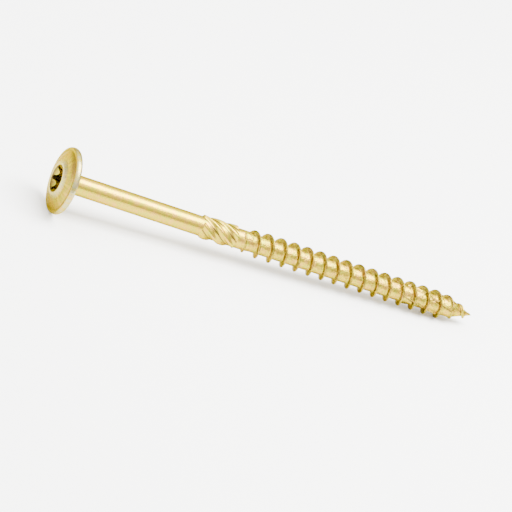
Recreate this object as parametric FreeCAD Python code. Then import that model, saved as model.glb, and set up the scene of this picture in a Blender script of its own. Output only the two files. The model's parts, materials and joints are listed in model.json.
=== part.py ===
import FreeCAD, Part
import math
import os

# Washer-head construction screw, sizes in millimetres and angles in degrees.
# It is drawn along its own axis from the bearing face under the head (0) to the point (length).

length = 100.0                # bearing face to the tip of the point
thread_diameter = 6.0
core_diameter = 4.0           # between the turns of the thread
shank_diameter = 4.3

head_diameter = 14.4
head_height = 2.5             # bearing face to the flat boss on top
rim_height = 1.35             # rounded outer edge of the washer
rim_bulge = 0.26              # how far the rim stands out past its two edges
crease_width = 0.5            # shallow set-back between the rim and the dome
crease_depth = 0.08
dome_rise = 0.72              # crease to the foot of the boss
dome_bulge = 0.15
boss_diameter = 6.9           # flat ring around the recess
boss_foot_diameter = 8.8
neck_diameter = 4.8           # stronger root of the shank, right under the head
neck_length = 1.3

recess_diameter = 5.6         # across opposite lobes
recess_lobe_depth = 0.775
recess_lobe_radius = 0.463
recess_depth = 1.95           # full section, under the boss
recess_cone_depth = 0.6
recess_mouth_depth = 1.1      # countersink, opening the mouth past the lobes
recess_chamfer = 0.17
recess_lobes = 6
recess_turn = 3.7

thread_start = 40.8           # where the first turn rises out of the shank
thread_rise = 4.4
pitch = 3.274
crest_width = 0.24
flank_angle = 20.0            # each flank from the plane across the axis
taper_length = 7.5            # thread getting lower toward the point
taper_end_diameter = 1.5      # crest where the thread meets the point
thread_fade = 0.9             # last bit of the thread, sinking into the cone
thread_gap = 0.24             # left bare at the very tip
thread_turn = 154.5           # angle around the axis where the thread starts

core_start = 42.6             # narrowing from the shank to the core
core_step_length = 1.2
point_length = 5.7            # cone of the core

reamer_start = 31.2           # raised helical ribs that widen the hole for the shank
reamer_length = 9.1
reamer_diameter = 5.1
reamer_lead = 19.5
reamer_count = 5
reamer_land = 1.3
reamer_base = 2.7
reamer_rise = 0.4
reamer_turn = 9.2

cutter_start = 81.0           # low ribs on the core between the last turns
cutter_length = 13.0
cutter_diameter = 4.7
cutter_lead = 50.0
cutter_count = 4
cutter_land = 0.2
cutter_base = 0.8
cutter_rise = 2.0
cutter_turn = 65.3

steps_per_turn = 12           # sections through a ridge in one turn
sections_per_strip = 6
thread_root_share = 0.7       # hidden foot of the thread, as a share of the body's radius
rib_root_share = 0.6          # the same for the ribs


def point_at(radius, angle, position):
    return FreeCAD.Vector(radius * math.cos(angle), radius * math.sin(angle), position)


def blend(first, last, share):
    """Smooth change from one value to another while the share goes from nought to one."""
    held = min(max(share, 0.0), 1.0)
    return first + (last - first) * (1.0 - math.cos(math.pi * held)) / 2.0


def body_radius(position):
    """Radius of the screw under its thread and ribs."""
    cone_start = length - point_length
    if position > cone_start:
        return core_diameter / 2.0 * (length - position) / point_length
    share = min(max((position - core_start) / core_step_length, 0.0), 1.0)
    return (shank_diameter + (core_diameter - shank_diameter) * share) / 2.0


def thread_end():
    return length - thread_gap


def crest_radius(position):
    """Radius of the thread's crest: rising out of the shank, level, tapering, sinking at the point."""
    taper_start = thread_end() - taper_length
    sunk = body_radius(position) * (1.0 + thread_root_share) / 2.0
    full = thread_diameter / 2.0
    if position > taper_start:
        share = (position - taper_start) / taper_length
        full = full + (taper_end_diameter / 2.0 - full) * share
    risen = sunk + (full - sunk) * math.sin(math.pi / 2.0 * min((position - thread_start) / thread_rise, 1.0))
    return blend(sunk, risen, (thread_end() - position) / thread_fade)


def rail(points):
    """Smooth curve through points, with one unit of its parameter from each point to the next."""
    curve = Part.BSplineCurve()
    curve.interpolate(Points=points, Parameters=[float(index) for index in range(len(points))])
    return curve


def strip(near, far, first, stop):
    """Face spanned by straight lines between two rails, from one section to another."""
    sides = [near.copy(), far.copy()]
    for side in sides:
        side.segment(first, stop)
    surface = Part.BSplineSurface()
    surface.buildFromPolesMultsKnots(
        [side.getPoles() for side in sides],
        [2, 2],
        sides[0].getMultiplicities(),
        [0.0, 1.0],
        sides[0].getKnots(),
        False,
        False,
        1,
        sides[0].Degree,
    )
    return surface.toShape()


def ridge(sections):
    """Closed solid through four-cornered sections, in strips of faces joined along smooth rails."""
    rails = [rail([section[corner] for section in sections]) for corner in range(4)]
    faces = []
    for section in (sections[0], sections[-1]):
        root = Part.makeLine(section[0], section[3])
        crest = Part.makeLine(section[1], section[2])
        faces.append(Part.makeRuledSurface(root, crest))
    last = len(sections) - 1
    for first in range(0, last, sections_per_strip):
        stop = min(first + sections_per_strip, last)
        for near, far in zip(rails, rails[1:] + rails[:1]):
            faces.append(strip(near, far, first, stop))
    shell = Part.makeShell(faces)
    shell.sewShape()
    return Part.makeSolid(shell)


def thread():
    """The thread's ridge, with flanks at an equal slope whatever its height."""
    span = thread_end() - thread_start
    count = round(span / pitch * steps_per_turn)
    slope = math.tan(math.radians(flank_angle))
    sections = []
    for index in range(count + 1):
        position = thread_start + span * index / count
        angle = math.radians(thread_turn) + 2.0 * math.pi * (position - thread_start) / pitch
        crest = crest_radius(position)
        root = body_radius(position) * thread_root_share
        crest_half = crest_width / 2.0
        root_half = crest_half + (crest - root) * slope
        sections.append([
            point_at(root, angle, position - root_half),
            point_at(crest, angle, position - crest_half),
            point_at(crest, angle, position + crest_half),
            point_at(root, angle, position + root_half),
        ])
    return ridge(sections)


def ribs(start, run, diameter, lead, count, land, base, rise, turn):
    """Evenly spaced long-pitch ribs with sloping ends."""
    steps = max(round(run / lead * steps_per_turn), 4)
    sections = []
    for index in range(steps + 1):
        root_position = start + run * index / steps
        crest_position = start + rise + (run - 2.0 * rise) * index / steps
        root_angle = math.radians(turn) + 2.0 * math.pi * (root_position - start) / lead
        crest_angle = math.radians(turn) + 2.0 * math.pi * (crest_position - start) / lead
        root = body_radius(root_position) * rib_root_share
        crest = diameter / 2.0
        root_half = base / diameter
        crest_half = land / diameter
        sections.append([
            point_at(root, root_angle - root_half, root_position),
            point_at(crest, crest_angle - crest_half, crest_position),
            point_at(crest, crest_angle + crest_half, crest_position),
            point_at(root, root_angle + root_half, root_position),
        ])
    first = ridge(sections)
    around = []
    for index in range(count):
        rib = first.copy()
        rib.rotate(FreeCAD.Vector(0, 0, 0), FreeCAD.Vector(0, 0, 1), 360.0 * index / count)
        around.append(rib)
    return around


def bow(first, last, bulge):
    """Arc between two points of the outline, standing out to its right by the bulge."""
    along = last.sub(first)
    side = FreeCAD.Vector(along.z, 0, -along.x).normalize()
    middle = first.add(last).multiply(0.5).add(side.multiply(bulge))
    return Part.Arc(first, middle, last).toShape()


def blank():
    """Headed and pointed blank turned from one outline, without its ridges and recess."""
    def place(radius, position):
        return FreeCAD.Vector(radius, 0, position)

    rim = head_diameter / 2.0 - rim_bulge
    shank = shank_diameter / 2.0
    core = core_diameter / 2.0
    cone_start = length - point_length
    boss_foot = place(boss_foot_diameter / 2.0, -(rim_height + dome_rise - crease_depth))
    crease = place(rim - crease_width, -(rim_height - crease_depth))

    top_centre = place(0, -head_height)
    boss_edge = place(boss_diameter / 2.0, -head_height)
    rim_top = place(rim, -rim_height)
    rim_bottom = place(rim, 0)
    neck_top = place(neck_diameter / 2.0, 0)
    neck_end = place(shank, neck_length)
    shank_end = place(shank, core_start)
    core_top = place(core, core_start + core_step_length)
    core_end = place(core, cone_start)
    tip = place(0, length)
    outline = [
        Part.makeLine(top_centre, boss_edge),
        Part.makeLine(boss_edge, boss_foot),
        bow(boss_foot, crease, dome_bulge),
        Part.makeLine(crease, rim_top),
        bow(rim_top, rim_bottom, rim_bulge),
        Part.makeLine(rim_bottom, neck_top),
        Part.makeLine(neck_top, neck_end),
        Part.makeLine(neck_end, shank_end),
        Part.makeLine(shank_end, core_top),
        Part.makeLine(core_top, core_end),
        Part.makeLine(core_end, tip),
        Part.makeLine(tip, top_centre),
    ]
    face = Part.Face(Part.Wire(outline))
    return face.revolve(FreeCAD.Vector(0, 0, 0), FreeCAD.Vector(0, 0, 1), 360.0)


def lobed_outline():
    """Closed outline of the recess: round lobes joined by tangent hollows."""
    outer = recess_diameter / 2.0
    inner = outer - recess_lobe_depth
    lobe_centre = outer - recess_lobe_radius
    step = 2.0 * math.pi / recess_lobes
    across = lobe_centre * math.cos(step / 2.0)
    spare = lobe_centre ** 2 + inner ** 2 - 2.0 * across * inner - recess_lobe_radius ** 2
    hollow_radius = spare / (2.0 * (recess_lobe_radius + across - inner))
    hollow_centre = inner + hollow_radius
    share = recess_lobe_radius / (recess_lobe_radius + hollow_radius)
    joint_x = lobe_centre + (hollow_centre * math.cos(step / 2.0) - lobe_centre) * share
    joint_y = hollow_centre * math.sin(step / 2.0) * share
    joint_radius = math.hypot(joint_x, joint_y)
    joint_angle = math.atan2(joint_y, joint_x)
    edges = []
    for index in range(recess_lobes):
        middle = math.radians(recess_turn) + step * index
        lobe_in = point_at(joint_radius, middle - joint_angle, 0)
        lobe_top = point_at(outer, middle, 0)
        lobe_out = point_at(joint_radius, middle + joint_angle, 0)
        hollow_top = point_at(inner, middle + step / 2.0, 0)
        next_in = point_at(joint_radius, middle + step - joint_angle, 0)
        edges.append(Part.Arc(lobe_in, lobe_top, lobe_out).toShape())
        edges.append(Part.Arc(lobe_out, hollow_top, next_in).toShape())
    return Part.Face(Part.Wire(edges))


def recess():
    """Space of the driver: lobed section, conical bottom and a countersink at the mouth."""
    mouth_radius = recess_diameter / 2.0 + recess_chamfer
    hollow = recess_diameter / 2.0 - recess_lobe_depth
    narrow = hollow - recess_chamfer
    axis = FreeCAD.Vector(0, 0, 1)
    above = FreeCAD.Vector(0, 0, -head_height - recess_mouth_depth)
    floor = FreeCAD.Vector(0, 0, recess_depth - head_height)
    section = lobed_outline()
    section.translate(above)
    socket = section.extrude(FreeCAD.Vector(0, 0, recess_depth + recess_mouth_depth))
    bottom = Part.makeCone(narrow, 0, recess_cone_depth, floor, axis)
    mouth = Part.makeCone(2.0 * mouth_radius - narrow, narrow, 2.0 * recess_mouth_depth, above, axis)
    return [socket, bottom, mouth]


def rest_slope():
    """Slope of the axis when the rim of the head and the lowest crest both touch the floor."""
    head = head_diameter / 2.0
    rim_position = -rim_height / 2.0
    span = thread_end() - thread_start
    count = round(span / pitch * steps_per_turn)
    slopes = [head / (length - rim_position)]
    for index in range(count + 1):
        position = thread_start + span * index / count
        angle = math.radians(thread_turn) + 2.0 * math.pi * (position - thread_start) / pitch
        drop = crest_radius(position) * math.cos(angle)
        slopes.append((head - drop) / (position - rim_position))
    return math.degrees(math.atan(min(slopes)))


def screw():
    body = blank().cut(recess())
    reamer = ribs(
        reamer_start, reamer_length, reamer_diameter, reamer_lead, reamer_count,
        reamer_land, reamer_base, reamer_rise, reamer_turn,
    )
    cutter = ribs(
        cutter_start, cutter_length, cutter_diameter, cutter_lead, cutter_count,
        cutter_land, cutter_base, cutter_rise, cutter_turn,
    )
    solid = body.fuse(reamer).fuse(cutter).fuse(thread()).Solids[0]
    solid.rotate(FreeCAD.Vector(0, 0, 0), FreeCAD.Vector(0, 1, 0), 90.0 + rest_slope())
    box = solid.optimalBoundingBox()
    solid.translate(FreeCAD.Vector(-box.Center.x, -box.Center.y, -box.ZMin))
    return solid


os.makedirs("parts", exist_ok=True)
screw().exportStep("parts/screw.step")
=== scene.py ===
import json
import math

import bmesh
import bpy
import numpy as np
from mathutils import Matrix, Vector


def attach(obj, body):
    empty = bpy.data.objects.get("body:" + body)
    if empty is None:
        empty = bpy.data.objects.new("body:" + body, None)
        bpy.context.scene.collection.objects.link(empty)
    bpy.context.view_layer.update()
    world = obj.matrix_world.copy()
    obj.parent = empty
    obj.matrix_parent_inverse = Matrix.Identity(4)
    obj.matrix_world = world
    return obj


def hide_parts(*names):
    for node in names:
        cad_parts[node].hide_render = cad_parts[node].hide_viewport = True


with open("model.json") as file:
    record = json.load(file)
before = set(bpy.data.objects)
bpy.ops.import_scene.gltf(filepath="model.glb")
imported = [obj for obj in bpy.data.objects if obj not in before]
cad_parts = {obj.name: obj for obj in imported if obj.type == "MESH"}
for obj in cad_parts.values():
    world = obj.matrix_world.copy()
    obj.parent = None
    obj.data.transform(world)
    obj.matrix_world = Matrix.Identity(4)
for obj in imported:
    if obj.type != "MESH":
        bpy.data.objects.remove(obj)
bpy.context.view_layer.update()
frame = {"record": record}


# The screw
# One cold-headed and rolled piece of hardened carbon steel, zinc plated and yellow chromated.
# Heading leaves the flowing dome and the punched recess, rolling leaves the thread and ribs.

# Sizes in millimetres. z runs along the screw's axis, from nought at the bearing face under the
# head to LENGTH at the point, so the head lies at negative z.
LENGTH = 100.0

HEAD_HEIGHT = 2.5
RIM_HEIGHT = 1.35
RIM_RADIUS = 7.2
RIM_BULGE = 0.26                  # how far the rim's arc stands out from its two edges
RIM_EDGE = RIM_RADIUS - RIM_BULGE
CREASE_RADIUS = 6.44              # the shallow line between dome and rim
CREASE_HEIGHT = 1.27
DOME_BULGE = 0.15
BOSS_RADIUS = 3.45                # flat ring around the recess
BOSS_FOOT_RADIUS = 4.4
BOSS_FOOT_HEIGHT = 1.99
EDGE_CUT = 0.09                   # how far each rounded edge reaches to both sides
EDGE_CUT_LIMIT = 0.45             # and at most this share of a side
NO_LENGTH = 1e-9                  # the least length of a side, so that none divides by nought
HEAD_MARGIN = 0.05                # whatever has a smaller z than this is head

RECESS_RADIUS = 2.8               # axis to the end of a lobe
RECESS_HOLLOW = 2.025             # axis to the bottom of a hollow between two lobes
RECESS_LOBE = 0.463               # radius of a lobe
RECESS_MOUTH = 2.97               # the countersink at its widest
RECESS_NARROW = 1.855             # and at its narrowest, as wide as the pointed bottom
RECESS_MOUTH_DEPTH = 1.1
RECESS_DEPTH = 1.95
RECESS_CONE = 0.6                 # height of the pointed bottom
RECESS_TURN = math.radians(3.7)

NECK_RADIUS = 2.4
NECK_LENGTH = 1.3
SHANK_RADIUS = 2.15
CORE_RADIUS = 2.0
CORE_START = 42.6
CORE_STEP = 1.2                   # length of the cone from shank to core
POINT_LENGTH = 5.7
TIP_LENGTH = 0.5                  # thread and ribs run out into the bare cone over this length

PITCH = 3.274
THREAD_RADIUS = 3.0
THREAD_START = 41.0
THREAD_END = LENGTH - 0.24
THREAD_RISE = 5.0
THREAD_TURN = math.radians(176.5)
THREAD_FADE = 0.9
THREAD_FILLET = 0.1               # height over which it rounds into the body
CREST_SUNK = 0.85                 # the crest starts and ends at this share of the body's radius
CREST_HALF = 0.12                 # half of the crest's flat land
CREST_SPREAD = 0.14               # how much wider than that it is at the end of the taper
CREST_EASE = 0.12                 # height over which the land's edges are rounded
FLANK = math.tan(math.radians(20.0))    # 40 degrees between the two flanks
TAPER_LENGTH = 7.5
TAPER_END = 0.68                  # crest radius that the taper leads to

# Ribs: start, length, crest radius, lead of their helix, number, width of land and base, the
# foot's radius as a share of the body's, length of the sloping ends, turn, crown of the land and
# fillet. A line of painted shade lies along one foot of each, at an angle from the rib's middle,
# with its width and the margin by which it stops short of both ends given last.
REAMER = dict(start=31.2, run=8.7, crest=2.55, lead=19.85, count=5, land=0.6, base=2.94,
              foot=0.95, rise=0.3, turn=math.radians(10.6), crown=0.04, fillet=0.05,
              shade_angle=math.radians(31.0), shade_width=math.radians(5.0), shade_margin=0.1)
CUTTER = dict(start=81.0, run=13.0, crest=2.35, lead=50.0, count=4, land=0.2, base=0.8,
              foot=0.6, rise=2.0, turn=math.radians(65.3), crown=0.02, fillet=0.04,
              shade_angle=math.radians(11.0), shade_width=math.radians(4.5), shade_margin=0.0)

# How finely the surface is divided
COLUMNS = 180                     # points around the screw
DOME_POINTS = 14
RIM_POINTS = 18
SHANK_ROWS = 12
REAMER_ROWS = 90
REAMER_ROWS_START = 31.1
REAMER_ROWS_END = 40.0
TURNS_START = 40.4                # the rows follow the thread's helix from here on
TURNS_END = LENGTH - 0.02
ROW_GAP = 0.05                    # between the shank's last row and the milling section's first
ROW_MARGIN = 0.2                  # helical rows start this much over a pitch before TURNS_START
ROWS_BESIDE_CREST = np.array([0.06, 0.13, 0.24, 0.36, 0.48, 0.6, 0.85, 1.2])

angles = np.arange(COLUMNS) * 2.0 * math.pi / COLUMNS


def ramp(value, first, last):
    """Nought up to first, one from last on, and a straight line between them."""
    return np.clip((value - first) / (last - first), 0.0, 1.0)


def soft_line(value, middle, width):
    """A Gaussian bell: one on the middle, and about a third of that one width beside it."""
    return np.exp(-((value - middle) / width) ** 2)


def soft_max(first, second, blend):
    """The larger of two arrays, with the meeting line rounded over a small height."""
    near = np.maximum(blend - np.abs(first - second), 0.0)
    return np.maximum(first, second) + near * near / (4.0 * blend)


def ease(first, last, share):
    """From first to last along half a cosine wave while share runs from nought to one."""
    held = np.clip(share, 0.0, 1.0)
    return first + (last - first) * (1.0 - np.cos(math.pi * held)) / 2.0


def body_radius(z):
    """Shank, short cone down to the core, core, and the cone of the point."""
    narrowed = ramp(z, CORE_START, CORE_START + CORE_STEP)
    core = SHANK_RADIUS + (CORE_RADIUS - SHANK_RADIUS) * narrowed
    return np.minimum(core, CORE_RADIUS * np.maximum(LENGTH - z, 0.0) / POINT_LENGTH)


def taper_share(z):
    """How far a place is along the thread's taper, from nought to one."""
    return ramp(z, THREAD_END - TAPER_LENGTH, THREAD_END)


def crest_radius(z):
    """Radius of the crest: a cube root up out of the shank, level, a straight taper, a fade."""
    sunk = body_radius(z) * CREST_SUNK
    full = THREAD_RADIUS + (TAPER_END - THREAD_RADIUS) * taper_share(z)
    risen = sunk + (full - sunk) * np.cbrt(ramp(z, THREAD_START, THREAD_START + THREAD_RISE))
    return np.where(z < THREAD_START, 0.0, ease(sunk, risen, (THREAD_END - z) / THREAD_FADE))


def crest_offset(z, angle):
    """Distance along the axis to the nearest turn of the crest helix."""
    first = THREAD_START + PITCH * (angle - THREAD_TURN) / (2.0 * math.pi)
    return (z - first + PITCH / 2.0) % PITCH - PITCH / 2.0


def thread_radius(z, angle):
    """Crest radius less the drop down a straight flank, with the land's two edges eased. The land
    spreads along the last turns, where the die pinches the point."""
    offset = crest_offset(z, angle)
    half_land = CREST_HALF + CREST_SPREAD * taper_share(z - offset)
    drop = soft_max(np.zeros_like(offset), (np.abs(offset) - half_land) / FLANK, CREST_EASE)
    return crest_radius(z - offset) - drop


def rib_angle(z, angle, rib):
    """Angle from the middle of the nearest helical rib, within half a spacing to either side."""
    spacing = 2.0 * math.pi / rib["count"]
    middle = rib["turn"] + 2.0 * math.pi * (z - rib["start"]) / rib["lead"]
    return (angle - middle + spacing / 2.0) % spacing - spacing / 2.0


def rib_radius(z, angle, rib):
    """Crowned land, then a straight flank through (x1, y1) and (x2, y2) as its polar equation
    r = (x1 y2 - x2 y1) / ((y2 - y1) cos t - (x2 - x1) sin t), sloping in at both ends."""
    aside = np.abs(rib_angle(z, angle, rib))
    root = body_radius(np.clip(z, rib["start"], rib["start"] + rib["run"])) * rib["foot"]
    half_land = rib["land"] / (2.0 * rib["crest"])
    half_base = rib["base"] / (2.0 * rib["crest"])
    land_x, land_y = rib["crest"] * math.cos(half_land), rib["crest"] * math.sin(half_land)
    foot_x, foot_y = root * math.cos(half_base), root * math.sin(half_base)
    flank = (land_x * foot_y - foot_x * land_y) / (
        (foot_y - land_y) * np.cos(aside) - (foot_x - land_x) * np.sin(aside))
    section = np.where(aside < half_land, rib["crest"], flank)
    crown = rib["crown"] * (np.minimum(aside / half_land, 1.0)) ** 2
    ends = np.minimum(z - rib["start"], rib["start"] + rib["run"] - z) / rib["rise"]
    return section - crown - (rib["crest"] - root) * (1.0 - np.minimum(ends, 1.0))


def outer_radius(z, angle):
    """Body, thread and ribs together, their meeting lines slightly rounded."""
    body = body_radius(z)
    radius = soft_max(body, thread_radius(z, angle), THREAD_FILLET)
    for rib in (REAMER, CUTTER):
        radius = soft_max(radius, rib_radius(z, angle, rib), rib["fillet"])
    return body + (radius - body) * (1.0 - ramp(z, LENGTH - TIP_LENGTH, LENGTH))


def lobed_radius(angle):
    """Six round lobes joined by tangent hollows, as one distance from the axis for each angle."""
    twelfth = math.pi / 6.0
    centre = RECESS_RADIUS - RECESS_LOBE
    across = centre * math.cos(twelfth)
    spare = centre ** 2 + RECESS_HOLLOW ** 2 - 2.0 * across * RECESS_HOLLOW - RECESS_LOBE ** 2
    hollow = spare / (2.0 * (RECESS_LOBE + across - RECESS_HOLLOW))
    far = RECESS_HOLLOW + hollow
    turn = np.abs((angle - RECESS_TURN + twelfth) % (2.0 * twelfth) - twelfth)
    lobe = centre * np.cos(turn) + np.sqrt(
        np.maximum(RECESS_LOBE ** 2 - (centre * np.sin(turn)) ** 2, 0.0))
    other = twelfth - turn
    wall = far * np.cos(other) - np.sqrt(np.maximum(hollow ** 2 - (far * np.sin(other)) ** 2, 0.0))
    share = RECESS_LOBE / (RECESS_LOBE + hollow)
    joint = math.atan2(far * math.sin(twelfth) * share,
                       centre + (far * math.cos(twelfth) - centre) * share)
    return np.where(turn < joint, lobe, wall)


def eased_corners(points, cuts):
    """Rings of a profile with each corner that has a cut replaced by a small parabola, the
    weighted mean of its start, the corner and its end."""
    rings = [points[0]]
    for before, corner, after, cut in zip(points, points[1:], points[2:], cuts[1:]):
        if cut == 0.0:
            rings.append(corner)
            continue
        back = before - corner
        on = after - corner
        back_length = np.maximum(np.linalg.norm(back, axis=1, keepdims=True), NO_LENGTH)
        on_length = np.maximum(np.linalg.norm(on, axis=1, keepdims=True), NO_LENGTH)
        start = corner + back / back_length * np.minimum(cut, back_length * EDGE_CUT_LIMIT)
        end = corner + on / on_length * np.minimum(cut, on_length * EDGE_CUT_LIMIT)
        for share in (0.0, 0.25, 0.5, 0.75, 1.0):
            left = 1.0 - share
            rings.append(left ** 2 * start + 2.0 * share * left * corner + share ** 2 * end)
    rings.append(points[-1])
    return rings


def ring(radius, z):
    """One profile point for every angle, as columns of radius and height."""
    return np.stack([np.broadcast_to(radius, angles.shape), np.broadcast_to(z, angles.shape)], 1)


def bowed(first, last, bulge, count):
    """Points on the arc from one ring to another that stands out to its right by the bulge."""
    chord = np.array(last) - np.array(first)
    long = float(np.hypot(*chord))
    side = np.array([chord[1], -chord[0]]) / long
    shares = np.linspace(0.0, 1.0, count)[1:-1]
    radius = (long ** 2 / 4.0 + bulge ** 2) / (2.0 * bulge)
    along = (shares - 0.5) * long
    rise = np.sqrt(radius ** 2 - along ** 2) - (radius - bulge)
    return [ring(*(np.array(first) + chord * s + side * r)) for s, r in zip(shares, rise)]


def head_rings():
    """From the recess's pointed bottom up its wall, over the head and in under it to the neck."""
    wall = lobed_radius(angles)
    slope = (RECESS_MOUTH - RECESS_NARROW) / RECESS_MOUTH_DEPTH
    floor = RECESS_DEPTH - HEAD_HEIGHT
    wall_top = -HEAD_HEIGHT + (RECESS_MOUTH - wall) / slope
    inside = [ring(0.0, floor + RECESS_CONE), ring(RECESS_NARROW, floor), ring(wall, floor),
              ring(wall, wall_top), ring(RECESS_MOUTH, -HEAD_HEIGHT),
              ring(BOSS_RADIUS, -HEAD_HEIGHT), ring(BOSS_FOOT_RADIUS, -BOSS_FOOT_HEIGHT)]
    dome = bowed((BOSS_FOOT_RADIUS, -BOSS_FOOT_HEIGHT), (CREASE_RADIUS, -CREASE_HEIGHT),
                 DOME_BULGE, DOME_POINTS)
    outside = [ring(CREASE_RADIUS, -CREASE_HEIGHT), ring(RIM_EDGE, -RIM_HEIGHT)]
    rim = bowed((RIM_EDGE, -RIM_HEIGHT), (RIM_EDGE, 0.0), RIM_BULGE, RIM_POINTS)
    under = [ring(RIM_EDGE, 0.0), ring(NECK_RADIUS, 0.0), ring(SHANK_RADIUS, NECK_LENGTH)]
    stretches = ((inside, EDGE_CUT), (dome, 0.0), (outside, EDGE_CUT), (rim, 0.0),
                 (under, EDGE_CUT))
    points = [point for stretch, cut in stretches for point in stretch]
    cuts = [cut for stretch, cut in stretches for point in stretch]
    return eased_corners(points, cuts)[:-1]


def straight_rings():
    """Plain shank in wide steps, then the milling section in fine ones."""
    places = np.concatenate([
        np.linspace(NECK_LENGTH, REAMER_ROWS_START - ROW_GAP, SHANK_ROWS),
        np.linspace(REAMER_ROWS_START, REAMER_ROWS_END, REAMER_ROWS),
        [TURNS_START],
    ])
    z = np.broadcast_to(places[:, None], (len(places), COLUMNS))
    return list(np.stack([outer_radius(z, angles), z], 2))


def turn_rows():
    """Rows that follow the helix: the same offsets from the crest in each turn."""
    offsets = np.concatenate([-ROWS_BESIDE_CREST[::-1], ROWS_BESIDE_CREST, [PITCH / 2.0]])
    first = THREAD_START - PITCH * THREAD_TURN / (2.0 * math.pi)
    turns = np.arange(-2, math.ceil((LENGTH - first) / PITCH) + 2)
    return (first + turns[:, None] * PITCH + offsets[None, :]).ravel(), len(offsets)


def cartesian(pairs):
    """Radius and height at each angle as x, y and z in one column of points."""
    radius, z = pairs[..., 0], pairs[..., 1]
    return np.stack([radius * np.cos(angles), radius * np.sin(angles), z], -1).reshape(-1, 3)


def screw_points():
    """All points and faces: straight rings, then helical rows whose seam steps on by one turn."""
    rings = head_rings() + straight_rings()
    rows, per_turn = turn_rows()
    rows = rows[rows > TURNS_START - PITCH - ROW_MARGIN]
    z = np.clip(rows[:, None] + PITCH * angles[None, :] / (2.0 * math.pi), TURNS_START, TURNS_END)
    helical = np.stack([outer_radius(z, np.broadcast_to(angles, z.shape)), z], 2)
    points = np.concatenate([cartesian(np.stack(rings)), cartesian(helical), [[0.0, 0.0, LENGTH]]])

    grid = np.arange(len(rings) * COLUMNS).reshape(len(rings), COLUMNS)
    beyond = np.roll(grid, -1, axis=1)
    straight = np.stack([grid[:-1], beyond[:-1], beyond[1:], grid[1:]], -1)
    grid = len(rings) * COLUMNS + np.arange(z.size).reshape(z.shape)
    turns = np.stack([grid[:-1, :-1], grid[:-1, 1:], grid[1:, 1:], grid[1:, :-1]], -1)
    seam_rows = len(rows) - per_turn
    seam = np.stack([
        grid[:seam_rows - 1, -1], grid[per_turn:-1, 0],
        grid[per_turn + 1:, 0], grid[1:seam_rows, -1],
    ], -1)
    tip = np.full(COLUMNS, len(points) - 1)
    cap = np.stack([grid[-1], np.roll(grid[-1], -1), tip, tip], -1)
    return points, np.concatenate([straight.reshape(-1, 4), turns.reshape(-1, 4), seam, cap])


def along_ribs(z, rib, margin=0.0):
    """True within the length of these ribs, less a margin at both ends."""
    return (z > rib["start"] + margin) & (z < rib["start"] + rib["run"] - margin)


def foot_shade(z, angle, rib):
    """A soft line of painted shade along one foot of every rib."""
    aside = rib_angle(z, angle - rib["shade_angle"], rib)
    return along_ribs(z, rib, rib["shade_margin"]) * soft_line(aside, 0.0, rib["shade_width"])


# Each mark's strength, from nought to one: wear to silver, the darker head, and painted shade
# along the crease, in the recess, on the thread's flanks and last feet, and along the ribs
WORN_BOSS, WORN_RIM = 0.8, 0.6
DARK_DOME, CREASE_SHADE, RECESS_WALL_SHADE, RECESS_MOUTH_SHADE = 0.38, 0.6, 0.15, 0.8
FLANK_SHADE, LAST_FEET_SHADE, VALLEY_SHADE, CUT_GROOVE_SHADE = 0.44, 0.9, 1.0, 0.85
LAST_FLANKS_PALER = 0.5           # the share that the flanks' mark loses on the last turns

# Each mark's place and width in millimetres: out from the axis, beside the crest or along z
WORN_BOSS_FROM, WORN_BOSS_TO = 3.5, 4.7
WORN_RIM_FROM, WORN_RIM_TO = RIM_EDGE + 0.02, RIM_EDGE + 0.12
STREAKS_MIDDLE, STREAKS_HALF = 4.6, 1.6
RECESS_INSIDE = RECESS_MOUTH - 0.03
RECESS_BELOW = 0.02 - HEAD_HEIGHT
# painted shade in the recess deepens between these two radii
MOUTH_SHADE_FROM, MOUTH_SHADE_TO = 2.35, 2.55
# painted shade along the crease: its width, and the height that keeps it off the underside of the
# head
CREASE_SHADE_WIDTH = 0.2
CREASE_ABOVE = -1.0               # keeps the crease's mark off the underside of the head
# where the thread's flanks carry painted shade: raised off the core, and this far beside the crest
RAISED_FROM, RAISED_TO = 0.1, 0.35
FLANK_REACH = 0.6
# painted shade at the feet of the last turns: its width and where it sets in
LAST_FOOT_SHADE_WIDTH = 0.15
LAST_TURNS_FROM, LAST_TURNS_TO = 94.0, 95.5
BATTERED_OVER = 1.0               # the length over which the dents set in
WIRE_RADIUS = 5.0                 # lines on the head are spaced as on a wire of this radius
FLOW_SQUEEZE = 0.05               # and stretched twentyfold along the flow


def flow_lines(points):
    """Coordinates squeezed along the way that the metal was worked: lengthwise on the shank, along
    the helical ribs in the milling section, and out from the recess on the head."""
    z = points[:, 2]
    twist = along_ribs(z, REAMER) * 2.0 * math.pi * (z - REAMER["start"]) / REAMER["lead"]
    around = np.arctan2(points[:, 1], points[:, 0]) - twist
    out = np.hypot(points[:, 0], points[:, 1])
    reach = np.where(z < HEAD_MARGIN, WIRE_RADIUS, SHANK_RADIUS)
    return np.stack([reach * np.cos(around), reach * np.sin(around), FLOW_SQUEEZE * (z - out)], 1)


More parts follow.
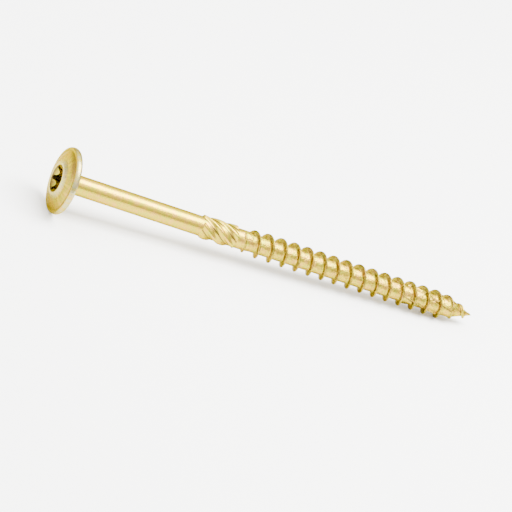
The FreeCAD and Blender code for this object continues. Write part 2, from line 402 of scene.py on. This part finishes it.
def wear_and_shade_marks(points):
    """Where the plating is worn to silver, where shade is painted dark into the crease, the recess,
    the thread's flanks and the rib valleys, where the head is darker all over, and where it is
    streaked, each from nought to one."""
    z = points[:, 2]
    out = np.hypot(points[:, 0], points[:, 1])
    around = np.arctan2(points[:, 1], points[:, 0]) % (2.0 * math.pi)
    head = z < HEAD_MARGIN
    in_recess = head & (out < RECESS_INSIDE) & (z > RECESS_BELOW)
    on_head = head & ~in_recess
    worn_boss = WORN_BOSS * (1.0 - ramp(out, WORN_BOSS_FROM, WORN_BOSS_TO))
    worn_rim = WORN_RIM * ramp(out, WORN_RIM_FROM, WORN_RIM_TO)
    silver = on_head * np.maximum(worn_boss, worn_rim)
    streaked = on_head * (1.0 - np.minimum(np.abs(out - STREAKS_MIDDLE) / STREAKS_HALF, 1.0))

    aside = np.abs(crest_offset(z, around))
    raised = ramp(out - body_radius(z), RAISED_FROM, RAISED_TO)
    last_turns = ramp(z, LAST_TURNS_FROM, LAST_TURNS_TO)
    on_flanks = (z > TURNS_START) & (aside < FLANK_REACH)
    shade_and_head_tone = np.maximum.reduce([
        DARK_DOME * on_head * (1.0 - silver),
        # painted shade along the crease between dome and rim
        CREASE_SHADE * on_head * (z < CREASE_ABOVE) * soft_line(out, CREASE_RADIUS, CREASE_SHADE_WIDTH),
        # painted shade inside the recess, deepest towards its mouth
        in_recess * (RECESS_WALL_SHADE + RECESS_MOUTH_SHADE * ramp(out, MOUTH_SHADE_FROM, MOUTH_SHADE_TO)),
        # painted shade on the thread's flanks, paler on the last turns
        FLANK_SHADE * on_flanks * raised * (1.0 - LAST_FLANKS_PALER * last_turns),
        # painted shade along the feet of the last turns
        LAST_FEET_SHADE * last_turns * soft_line(aside, FLANK_REACH, LAST_FOOT_SHADE_WIDTH),
        # painted shade along one foot of each milling rib and of each cutting rib at the point
        VALLEY_SHADE * foot_shade(z, around, REAMER),
        CUT_GROOVE_SHADE * foot_shade(z, around, CUTTER),
    ])
    return np.stack([silver, shade_and_head_tone, streaked], 1)


def battered_share(points):
    """Nought on the head and shank, one on the thread and point, which rolling leaves dented."""
    return ramp(points[:, 2], TURNS_START, TURNS_START + BATTERED_OVER)


def to_linear(code):
    """sRGB hex to linear red, green and blue."""
    parts = [int(code[i:i + 2], 16) / 255.0 for i in (1, 3, 5)]
    return [c / 12.92 if c <= 0.04045 else ((c + 0.055) / 1.055) ** 2.4 for c in parts] + [1.0]


def add_node(tree, kind, values=(), links=(), **settings):
    """A shader node with its settings, its input values and the sockets that feed it."""
    node = tree.nodes.new(kind)
    for name, value in settings.items():
        setattr(node, name, value)
    for name, value in dict(values).items():
        node.inputs[name].default_value = value
    for name, source in dict(links).items():
        tree.links.new(source, node.inputs[name])
    return node


# The record's recess mount gives the screw's axis and, one head height on, its bearing face.
recess_mount = next(m for m in frame["record"]["mounts"] if m["name"] == "drive_recess")
axis = -Vector(recess_mount["axis"]).normalized()
side = Vector((0.0, 1.0, 0.0))
down = side.cross(axis)
PER_METRE = 1000.0
bearing = Vector(recess_mount["pos_m"]) + axis * HEAD_HEIGHT / PER_METRE
turned = np.array([down[:], side[:], axis[:]])

own, quads = screw_points()
placed = (own / PER_METRE) @ turned + np.array(bearing[:])
mesh = bpy.data.meshes.new("screw_skin")
mesh.from_pydata(placed.tolist(), [], quads.tolist())
# The third attribute holds wear to silver, painted shade with the darker head, and streaks.
for name, values in (("own_place", own), ("flow", flow_lines(own)), ("wear_and_shade", wear_and_shade_marks(own))):
    mesh.attributes.new(name, "FLOAT_VECTOR", "POINT").data.foreach_set(
        "vector", values.astype(np.float32).ravel())
mesh.attributes.new("battered", "FLOAT", "POINT").data.foreach_set(
    "value", battered_share(own).astype(np.float32))

# The recess's pole, the point and the clipped rows start as faces without area. They are merged
# away here, by distances in metres.
SAME_PLACE = 2e-7
NO_EDGE = 1e-8
merged = bmesh.new()
merged.from_mesh(mesh)
bmesh.ops.remove_doubles(merged, verts=merged.verts, dist=SAME_PLACE)
bmesh.ops.dissolve_degenerate(merged, edges=merged.edges, dist=NO_EDGE)
merged.to_mesh(mesh)
merged.free()
mesh.shade_smooth()

screw = bpy.data.objects.new("screw_skin", mesh)
bpy.context.scene.collection.objects.link(screw)

# Yellow chromate over zinc: a pale gold metal with faint pink and green tints, bright and a little
# cloudy, with fine rolling lines along the shank and flow lines out from the recess. It is worn to
# streaky silver on the boss and rim and darker over the head, carries painted shade in the recess,
# the crease, the valleys and on the thread's flanks, and is dented along the thread. Seen at a
# grazing angle the film is pale gold.
chromate = bpy.data.materials.new("yellow_chromated_zinc_with_painted_shade")
chromate.use_nodes = True
tree = chromate.node_tree
tree.nodes.clear()
own_place = add_node(tree, "ShaderNodeAttribute", attribute_name="own_place").outputs["Vector"]
flow = add_node(tree, "ShaderNodeAttribute", attribute_name="flow").outputs["Vector"]
wear_and_shade = add_node(tree, "ShaderNodeAttribute", attribute_name="wear_and_shade").outputs["Vector"]
battered = add_node(tree, "ShaderNodeAttribute", attribute_name="battered").outputs["Fac"]
marks = add_node(tree, "ShaderNodeSeparateXYZ", links={0: wear_and_shade})
# The second mark is painted shade, together with the darker head.
silver, shade_and_head_tone, streaked = marks.outputs[0], marks.outputs[1], marks.outputs[2]

# Scales count per millimetre: tint clouds of about 1 mm, dents of 0.7 mm, lines 0.3 mm apart and
# a grain of 0.2 mm. The real lines and grain are finer. They are drawn coarser so that they show.
clouds = add_node(tree, "ShaderNodeTexNoise", {"Scale": 0.9, "Detail": 4.0, "Roughness": 0.6},
                  {"Vector": own_place}).outputs["Fac"]
dents = add_node(tree, "ShaderNodeTexNoise", {"Scale": 1.5, "Detail": 3.0, "Roughness": 0.6},
                 {"Vector": own_place}).outputs["Fac"]
lines = add_node(tree, "ShaderNodeTexNoise", {"Scale": 3.2, "Detail": 3.0, "Roughness": 0.6},
                 {"Vector": flow}).outputs["Fac"]
grain = add_node(tree, "ShaderNodeTexNoise", {"Scale": 5.0, "Detail": 3.0, "Roughness": 0.65},
                 {"Vector": own_place}).outputs["Fac"]

# Colour: green, yellow and pink gold in clouds, then silver where it is worn along the lines.
tint = add_node(tree, "ShaderNodeValToRGB", links={"Fac": clouds})
greenish, pinkish = tint.color_ramp.elements
greenish.position, greenish.color = 0.38, to_linear("#a39a28")
pinkish.position, pinkish.color = 0.62, to_linear("#b8933a")
tint.color_ramp.elements.new(0.5).color = to_linear("#b09722")
patchy = add_node(tree, "ShaderNodeMapRange",
                  {"From Min": 0.4, "From Max": 0.6, "To Min": 0.2, "To Max": 1.0},
                  {"Value": lines}).outputs[0]
worn_share = add_node(tree, "ShaderNodeMath", {}, {0: silver, 1: patchy},
                      operation="MULTIPLY").outputs[0]
worn = add_node(tree, "ShaderNodeMix", {7: to_linear("#b4b298")},
                {0: worn_share, 6: tint.outputs["Color"]}, data_type="RGBA").outputs[2]

# Share of dark brown: the painted shade and the darker head, made uneven by the grain, pitted by
# the dents and streaked by the lines.
uneven = add_node(tree, "ShaderNodeMapRange",
                  {"From Min": 0.3, "From Max": 0.7, "To Min": -0.12, "To Max": 0.12},
                  {"Value": grain}).outputs[0]
uneven_shade_and_tone = add_node(tree, "ShaderNodeMath", {}, {0: shade_and_head_tone, 1: uneven}, operation="ADD").outputs[0]
pits = add_node(tree, "ShaderNodeMapRange",
                {"From Min": 0.38, "From Max": 0.62, "To Min": 0.3, "To Max": -0.2},
                {"Value": dents}).outputs[0]
pitted_shade_and_tone = add_node(tree, "ShaderNodeMath", {}, {0: pits, 1: battered, 2: uneven_shade_and_tone},
                       operation="MULTIPLY_ADD").outputs[0]
contrast = add_node(tree, "ShaderNodeMath", {1: 1.7, 2: 0.5}, {0: streaked},
                    operation="MULTIPLY_ADD").outputs[0]
off_middle = add_node(tree, "ShaderNodeMath", {1: 0.5}, {0: lines}, operation="SUBTRACT").outputs[0]
shade_and_tone_share = add_node(tree, "ShaderNodeMath", {}, {0: off_middle, 1: contrast, 2: pitted_shade_and_tone},
                      operation="MULTIPLY_ADD", use_clamp=True).outputs[0]
shaded = add_node(tree, "ShaderNodeMix", {7: to_linear("#463a20")}, {0: shade_and_tone_share, 6: worn},
                  data_type="RGBA").outputs[2]

# Relief: the lines, stronger where they are streaks, then the dents and the grain on top.
line_weight = add_node(tree, "ShaderNodeMath", {1: 3.0, 2: 1.0}, {0: streaked},
                       operation="MULTIPLY_ADD").outputs[0]
line_height = add_node(tree, "ShaderNodeMath", {}, {0: lines, 1: line_weight},
                       operation="MULTIPLY").outputs[0]
dent_height = add_node(tree, "ShaderNodeMath", {}, {0: dents, 1: battered},
                       operation="MULTIPLY").outputs[0]
dented = add_node(tree, "ShaderNodeMath", {1: 6.5}, {0: dent_height, 2: line_height},
                  operation="MULTIPLY_ADD").outputs[0]
relief = add_node(tree, "ShaderNodeMath", {1: 0.9}, {0: grain, 2: dented},
                  operation="MULTIPLY_ADD").outputs[0]
bump = add_node(tree, "ShaderNodeBump", {"Strength": 0.6, "Distance": 0.00005}, {"Height": relief})
rough = add_node(tree, "ShaderNodeMapRange",
                 {"From Min": 0.3, "From Max": 0.7, "To Min": 0.2, "To Max": 0.34},
                 {"Value": grain}).outputs[0]
metal = add_node(tree, "ShaderNodeBsdfPrincipled",
                 {"Metallic": 1.0, "Specular Tint": to_linear("#d6c88c")},
                 {"Base Color": shaded, "Roughness": rough, "Normal": bump.outputs["Normal"]})
add_node(tree, "ShaderNodeOutputMaterial", links={"Surface": metal.outputs["BSDF"]})
mesh.materials.append(chromate)

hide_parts("screw")
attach(screw, "root")


# Floor, light and camera
# A matt white table that runs past the picture on every side, under soft studio light.
FLOOR_HALF = 3.0                  # metres
floor_mesh = bpy.data.meshes.new("floor")
floor_mesh.from_pydata([(-FLOOR_HALF, -FLOOR_HALF, 0), (FLOOR_HALF, -FLOOR_HALF, 0),
                        (FLOOR_HALF, FLOOR_HALF, 0), (-FLOOR_HALF, FLOOR_HALF, 0)], [],
                       [(0, 1, 2, 3)])
floor = bpy.data.objects.new("floor", floor_mesh)
bpy.context.scene.collection.objects.link(floor)
paper = bpy.data.materials.new("matt_white_paper")
paper.use_nodes = True
paper_look = paper.node_tree.nodes["Principled BSDF"]
paper_look.inputs["Base Color"].default_value = to_linear("#f7f7f5")
paper_look.inputs["Roughness"].default_value = 0.9
floor_mesh.materials.append(paper)

# The sky is bright overhead and dimmer towards the horizon, as under a large soft box.
world = bpy.data.worlds.new("studio")
world.use_nodes = True
sky = world.node_tree
direction = add_node(sky, "ShaderNodeTexCoord").outputs["Generated"]
elevation = add_node(sky, "ShaderNodeSeparateXYZ", links={0: direction}).outputs["Z"]
brightness = add_node(sky, "ShaderNodeMapRange",
                      {"From Min": 0.1, "From Max": 0.95, "To Min": 1.3, "To Max": 5.0},
                      {"Value": elevation}, interpolation_type="SMOOTHSTEP").outputs[0]
sky.links.new(brightness, sky.nodes["Background"].inputs["Strength"])
sky.nodes["Background"].inputs["Color"].default_value = to_linear("#ffffff")
bpy.context.scene.world = world


def soft_light(name, place, target, size, power):
    """A rectangular lamp, its place and size in metres and its power in watts, facing a target."""
    lamp = bpy.data.lights.new(name, "AREA")
    lamp.shape = "RECTANGLE"
    lamp.size, lamp.size_y = size
    lamp.energy = power
    holder = bpy.data.objects.new(name, lamp)
    holder.matrix_world = (
        Matrix.Translation(place)
        @ (Vector(target) - Vector(place)).to_track_quat("-Z", "Y").to_matrix().to_4x4())
    bpy.context.scene.collection.objects.link(holder)


soft_light("overhead", (0.2, -0.05, 0.5), (0.2, -0.05, 0.0), (0.5, 0.34), 15.0)
soft_light("left", (-0.5, -0.1, 0.08), (-0.05, 0.0, 0.01), (0.3, 0.12), 1.0)

# The picture is taken from the head's side, a little above, with the camera rolled.
camera_data = bpy.data.cameras.new("photo_camera")
camera_data.sensor_width = 36.0
camera_data.lens = 202.93
camera_data.clip_start = 0.01
camera = bpy.data.objects.new("photo_camera", camera_data)
ahead = Vector((0.40354, 0.79169, -0.45866)).normalized()
right = Vector((0.88077, -0.20036, 0.42908))
right = (right - ahead * right.dot(ahead)).normalized()
up = right.cross(ahead)
spot = bearing + Vector((-0.20096, -0.48519, 0.27628))
camera.matrix_world = Matrix.Translation(spot) @ Matrix((right, up, -ahead)).transposed().to_4x4()
bpy.context.scene.collection.objects.link(camera)
bpy.context.scene.camera = camera
